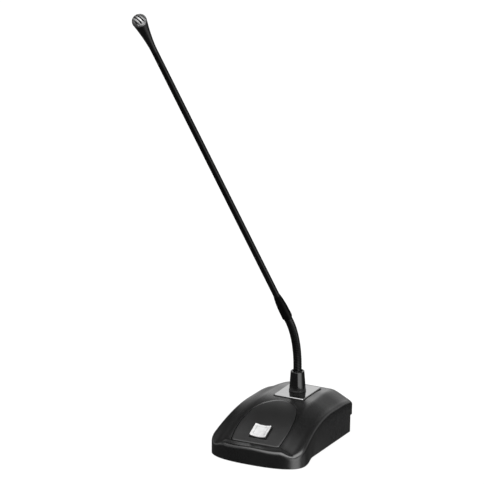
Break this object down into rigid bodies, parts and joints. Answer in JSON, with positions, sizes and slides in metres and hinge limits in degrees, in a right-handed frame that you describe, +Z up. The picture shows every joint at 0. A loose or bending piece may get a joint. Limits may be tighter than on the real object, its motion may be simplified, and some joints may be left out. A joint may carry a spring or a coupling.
{
  "type": "gooseneck podium microphone",
  "caption": "Desk microphone with a low wedge base, a lit talk button, a ribbed flexible neck and a long thin wand ending in a flared head with a slotted grille.",
  "frame": {"origin": "on the table under the middle of the base, on the underside of the rubber pad", "axes": "+Z up, the user sits on the -Y side, +X to the right as the user sees it"},
  "size_m": [0.0854, 0.3139, 0.4543],
  "materials": {
    "cast_black": "satin black paint on die-cast metal",
    "panel_black": "fine matt black moulding",
    "satin_black": "satin black coating",
    "boot_black": "semi-gloss black moulding",
    "sleeve_black": "smooth black moulding",
    "grille_black": "dark semi-gloss coating",
    "clear_white": "frosted clear moulding",
    "polished_metal": "polished",
    "steel": "zinc plated",
    "nickel_brass": "nickel plated",
    "rubber_black": "matt",
    "switch_black": "matt",
    "board_green": "solder mask",
    "foam_black": "open foam"
  },
  "bodies": {
    "base": {"rubber_pad": "rubber_black", "bottom_plate": "steel", "bottom_screw_1": "steel", "bottom_screw_2": "steel", "bottom_screw_3": "steel", "bottom_screw_4": "steel", "ballast_weight": "steel", "base_housing": "cast_black", "control_panel": "panel_black", "mount_plate": "polished_metal", "neck_stud": "nickel_brass", "stud_washer": "steel", "stud_nut": "steel", "boot": "boot_black", "boot_ring": "boot_black", "switch_board": "board_green", "board_screw_1": "steel", "board_screw_2": "steel", "board_header": "clear_white", "switch_body": "switch_black", "status_led_1": "clear_white", "status_led_2": "clear_white", "mic_lead": "rubber_black", "cable_gland": "sleeve_black", "gland_nut": "nickel_brass", "neck_root": "satin_black"},
    "neck_1": {"neck_link_1": "satin_black"},
    "neck_2": {"neck_link_2": "satin_black"},
    "neck_3": {"neck_link_3": "satin_black"},
    "neck_4": {"neck_link_4": "satin_black"},
    "neck_5": {"neck_link_5": "satin_black"},
    "neck_6": {"neck_link_6": "satin_black"},
    "neck_7": {"neck_link_7": "satin_black"},
    "wand": {"neck_tip": "satin_black", "neck_sleeve": "sleeve_black", "rod_tube": "satin_black", "rod_lead": "rubber_black", "head_shell": "satin_black", "capsule_ring": "rubber_black", "capsule": "steel", "grille": "grille_black", "wind_foam": "foam_black"},
    "button": {"talk_button": "clear_white", "light_guide": "clear_white", "switch_plunger": "switch_black"}
  },
  "joints": [
    {"name": "neck_bend_1", "type": "hinge", "parent": "base", "child": "neck_1", "pos_m": [0, 0.0297, 0.05854], "axis": [1, 0, 0], "range_deg": [-12, 12]},
    {"name": "neck_side_1", "type": "hinge", "parent": "neck_1", "child": "neck_2", "pos_m": [0, 0.02944, 0.06561], "axis": [0, 0.9964, 0.085], "range_deg": [-12, 12]},
    {"name": "neck_bend_2", "type": "hinge", "parent": "neck_2", "child": "neck_3", "pos_m": [0, 0.02849, 0.07262], "axis": [1, 0, 0], "range_deg": [-12, 12]},
    {"name": "neck_side_2", "type": "hinge", "parent": "neck_3", "child": "neck_4", "pos_m": [0, 0.02688, 0.0795], "axis": [0, 0.9613, 0.2754], "range_deg": [-12, 12]},
    {"name": "neck_bend_3", "type": "hinge", "parent": "neck_4", "child": "neck_5", "pos_m": [0, 0.0246, 0.0862], "axis": [1, 0, 0], "range_deg": [-12, 12]},
    {"name": "neck_side_3", "type": "hinge", "parent": "neck_5", "child": "neck_6", "pos_m": [0, 0.02169, 0.09265], "axis": [0, 0.8903, 0.4554], "range_deg": [-12, 12]},
    {"name": "neck_bend_4", "type": "hinge", "parent": "neck_6", "child": "neck_7", "pos_m": [0, 0.01817, 0.09878], "axis": [1, 0, 0], "range_deg": [-12, 12]},
    {"name": "neck_side_4", "type": "hinge", "parent": "neck_7", "child": "wand", "pos_m": [0, 0.01407, 0.10454], "axis": [0, 0.7923, 0.6101], "range_deg": [-12, 12]},
    {"name": "button_press", "type": "slide", "parent": "base", "child": "button", "axis": [0, 0.4523, -0.8919], "range_m": [0, 0.0012], "stiffness_N_per_m": 400}
  ],
  "couplings": [
    {"joint": "neck_bend_2", "follows": "neck_bend_1", "ratio": 1},
    {"joint": "neck_side_2", "follows": "neck_side_1", "ratio": 1},
    {"joint": "neck_bend_3", "follows": "neck_bend_1", "ratio": 1},
    {"joint": "neck_side_3", "follows": "neck_side_1", "ratio": 1},
    {"joint": "neck_bend_4", "follows": "neck_bend_1", "ratio": 1},
    {"joint": "neck_side_4", "follows": "neck_side_1", "ratio": 1}
  ]
}
